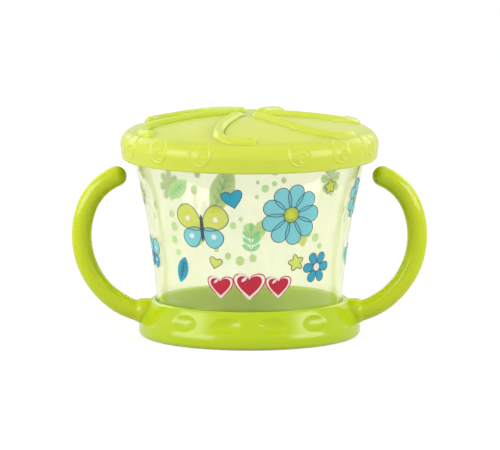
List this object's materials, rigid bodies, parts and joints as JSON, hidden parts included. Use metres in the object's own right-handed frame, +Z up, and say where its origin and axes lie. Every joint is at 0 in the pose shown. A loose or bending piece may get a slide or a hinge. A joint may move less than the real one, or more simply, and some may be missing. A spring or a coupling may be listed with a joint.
{
  "type": "toddler snack container",
  "caption": "Clear flared snack cup in a dimpled base ring with two open C-shaped handles, closed by a soft press-on lid cut into curved flaps.",
  "frame": {"origin": "on the table under the centre of the base ring", "axes": "+Z up, +X towards the right handle, -Y towards the front of the print"},
  "size_m": [0.1406, 0.102, 0.0897],
  "materials": {
    "cup": "clear, faintly yellow-green, glossy",
    "base": "glossy lime",
    "handle": "glossy lime",
    "lid": "soft translucent yellow-green elastomer",
    "flap": "soft translucent yellow-green elastomer"
  },
  "bodies": {
    "base": {"base_ring": "base", "cup": "cup", "handle_left": "handle", "handle_right": "handle"},
    "lid": {"lid_shell": "lid"},
    "flap_1": {"flap_1": "flap"},
    "flap_2": {"flap_2": "flap"},
    "flap_3": {"flap_3": "flap"},
    "flap_4": {"flap_4": "flap"},
    "flap_5": {"flap_5": "flap"},
    "flap_6": {"flap_6": "flap"}
  },
  "joints": [
    {"name": "lid_lift", "type": "slide", "parent": "base", "child": "lid", "axis": [0, 0, 1], "range_m": [0, 0.05]},
    {"name": "flap_1_bend", "type": "hinge", "parent": "lid", "child": "flap_1", "pos_m": [0.01862, -0.03225, 0.08268], "axis": [-0.866, -0.5, 0], "range_deg": [-15, 60], "stiffness_Nm_per_rad": 0.03},
    {"name": "flap_2_bend", "type": "hinge", "parent": "lid", "child": "flap_2", "pos_m": [0.03724, 0, 0.08268], "axis": [0, -1, 0], "range_deg": [-15, 60], "stiffness_Nm_per_rad": 0.03},
    {"name": "flap_3_bend", "type": "hinge", "parent": "lid", "child": "flap_3", "pos_m": [0.01862, 0.03225, 0.08268], "axis": [0.866, -0.5, 0], "range_deg": [-15, 60], "stiffness_Nm_per_rad": 0.03},
    {"name": "flap_4_bend", "type": "hinge", "parent": "lid", "child": "flap_4", "pos_m": [-0.01862, 0.03225, 0.08268], "axis": [0.866, 0.5, 0], "range_deg": [-15, 60], "stiffness_Nm_per_rad": 0.03},
    {"name": "flap_5_bend", "type": "hinge", "parent": "lid", "child": "flap_5", "pos_m": [-0.03724, 0, 0.08268], "axis": [0, 1, 0], "range_deg": [-15, 60], "stiffness_Nm_per_rad": 0.03},
    {"name": "flap_6_bend", "type": "hinge", "parent": "lid", "child": "flap_6", "pos_m": [-0.01862, -0.03225, 0.08268], "axis": [-0.866, 0.5, 0], "range_deg": [-15, 60], "stiffness_Nm_per_rad": 0.03}
  ]
}
